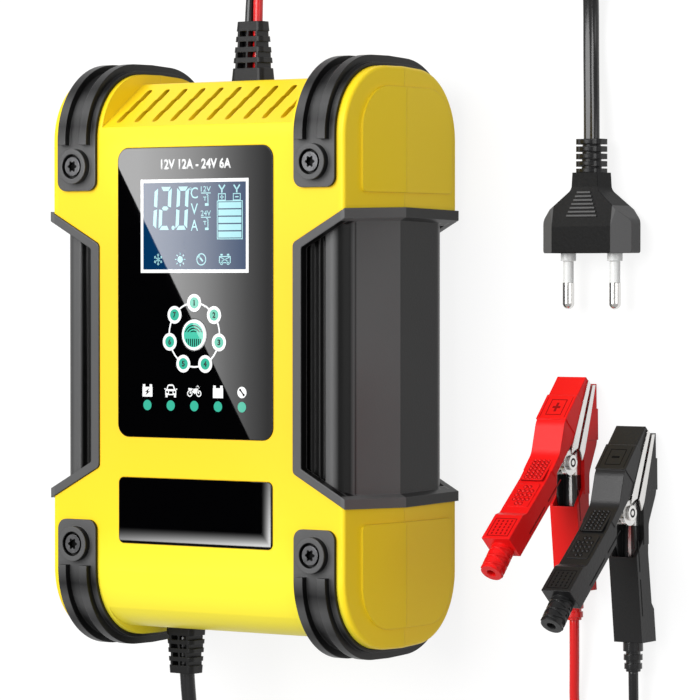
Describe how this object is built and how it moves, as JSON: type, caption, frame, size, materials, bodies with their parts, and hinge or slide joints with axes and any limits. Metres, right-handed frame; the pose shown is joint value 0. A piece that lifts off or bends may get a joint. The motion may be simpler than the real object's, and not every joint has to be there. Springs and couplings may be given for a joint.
{
  "type": "car battery charger",
  "caption": "Smart battery charger with a two-shell housing, corner bumpers, side grips, display with a push button, mains lead with a two-pin plug, and two leads with spring clamps.",
  "frame": {"origin": "centre of the housing's footprint, on the surface that its corner bosses rest on", "axes": "+X to the right across the housing, +Y along it to the battery lead end, +Z out of the display face"},
  "size_m": [0.2709, 0.3552, 0.074],
  "materials": {
    "yellow_plastic": "satin, light grain",
    "black_plastic": "matt, fine grain",
    "dark_steel": "blackened",
    "gloss_black": "gloss",
    "grey_plastic": "satin",
    "pale_plastic": "satin",
    "moulded_black": "matt",
    "light_pipe": "clear, frosted",
    "lcd_glass": "blue backlight",
    "circuit_board": "satin",
    "plated_steel": "nickel plated",
    "iron_core": "matt",
    "copper_winding": "enamelled",
    "aluminium_can": "satin",
    "soft_black": "matt",
    "nickel_plate": "nickel plated",
    "red_sheath": "satin",
    "black_sheath": "satin",
    "red_cover": "satin",
    "black_cover": "satin"
  },
  "bodies": {
    "housing": {"front_shell": "yellow_plastic", "back_shell": "yellow_plastic", "grip_right": "black_plastic", "grip_left": "black_plastic", "bumper_top_right": "black_plastic", "bumper_top_left": "black_plastic", "bumper_bottom_right": "black_plastic", "bumper_bottom_left": "black_plastic", "front_screws": "dark_steel", "back_screws": "dark_steel", "display_panel": "gloss_black", "name_plate": "gloss_black", "push_switch": "moulded_black", "stage_lights": "light_pipe", "type_lights": "light_pipe", "lcd_module": "lcd_glass", "display_board": "circuit_board", "display_screws": "plated_steel", "main_board": "circuit_board", "main_screws": "plated_steel", "transformer": "iron_core", "choke": "copper_winding", "capacitors": "aluminium_can", "relay": "moulded_black", "heat_sinks": "aluminium_can", "power_transistors": "moulded_black", "fan_frame": "moulded_black", "lead_relief": "soft_black", "mains_relief": "soft_black", "plug_body": "soft_black", "plug_relief": "soft_black", "plug_pins": "nickel_plate", "pin_sleeves": "pale_plastic", "red_lead": "red_sheath", "black_lead": "black_sheath", "mains_lead": "black_sheath", "red_lower_cover": "red_cover", "red_lower_jaw": "plated_steel", "red_pivot_pin": "plated_steel", "red_clamp_spring": "plated_steel", "red_clamp_relief": "red_sheath", "black_lower_cover": "black_cover", "black_lower_jaw": "plated_steel", "black_pivot_pin": "plated_steel", "black_clamp_spring": "plated_steel", "black_clamp_relief": "black_sheath"},
    "mode_button": {"mode_button": "grey_plastic", "switch_plunger": "moulded_black"},
    "fan_rotor": {"fan_rotor": "moulded_black"},
    "red_lever": {"red_upper_cover": "red_cover", "red_upper_jaw": "plated_steel"},
    "black_lever": {"black_upper_cover": "black_cover", "black_upper_jaw": "plated_steel"}
  },
  "joints": [
    {"name": "mode_press", "type": "slide", "parent": "housing", "child": "mode_button", "axis": [0, 0, -1], "range_m": [0, 0.0006], "stiffness_N_per_m": 600, "springref_m": -0.001},
    {"name": "fan_spin", "type": "hinge", "parent": "housing", "child": "fan_rotor", "pos_m": [0, -0.051, 0.0116], "axis": [0, 0, 1], "continuous": true},
    {"name": "red_clamp_squeeze", "type": "hinge", "parent": "housing", "child": "red_lever", "pos_m": [0.1132, -0.0352, 0.01427], "axis": [1, 0, 0], "range_deg": [0, 28], "stiffness_Nm_per_rad": 0.6, "springref_deg": -28.65, "deforming": ["red_clamp_spring"]},
    {"name": "black_clamp_squeeze", "type": "hinge", "parent": "housing", "child": "black_lever", "pos_m": [0.1368, -0.0514, 0.01427], "axis": [1, 0, 0], "range_deg": [0, 28], "stiffness_Nm_per_rad": 0.6, "springref_deg": -28.65, "deforming": ["black_clamp_spring"]}
  ]
}
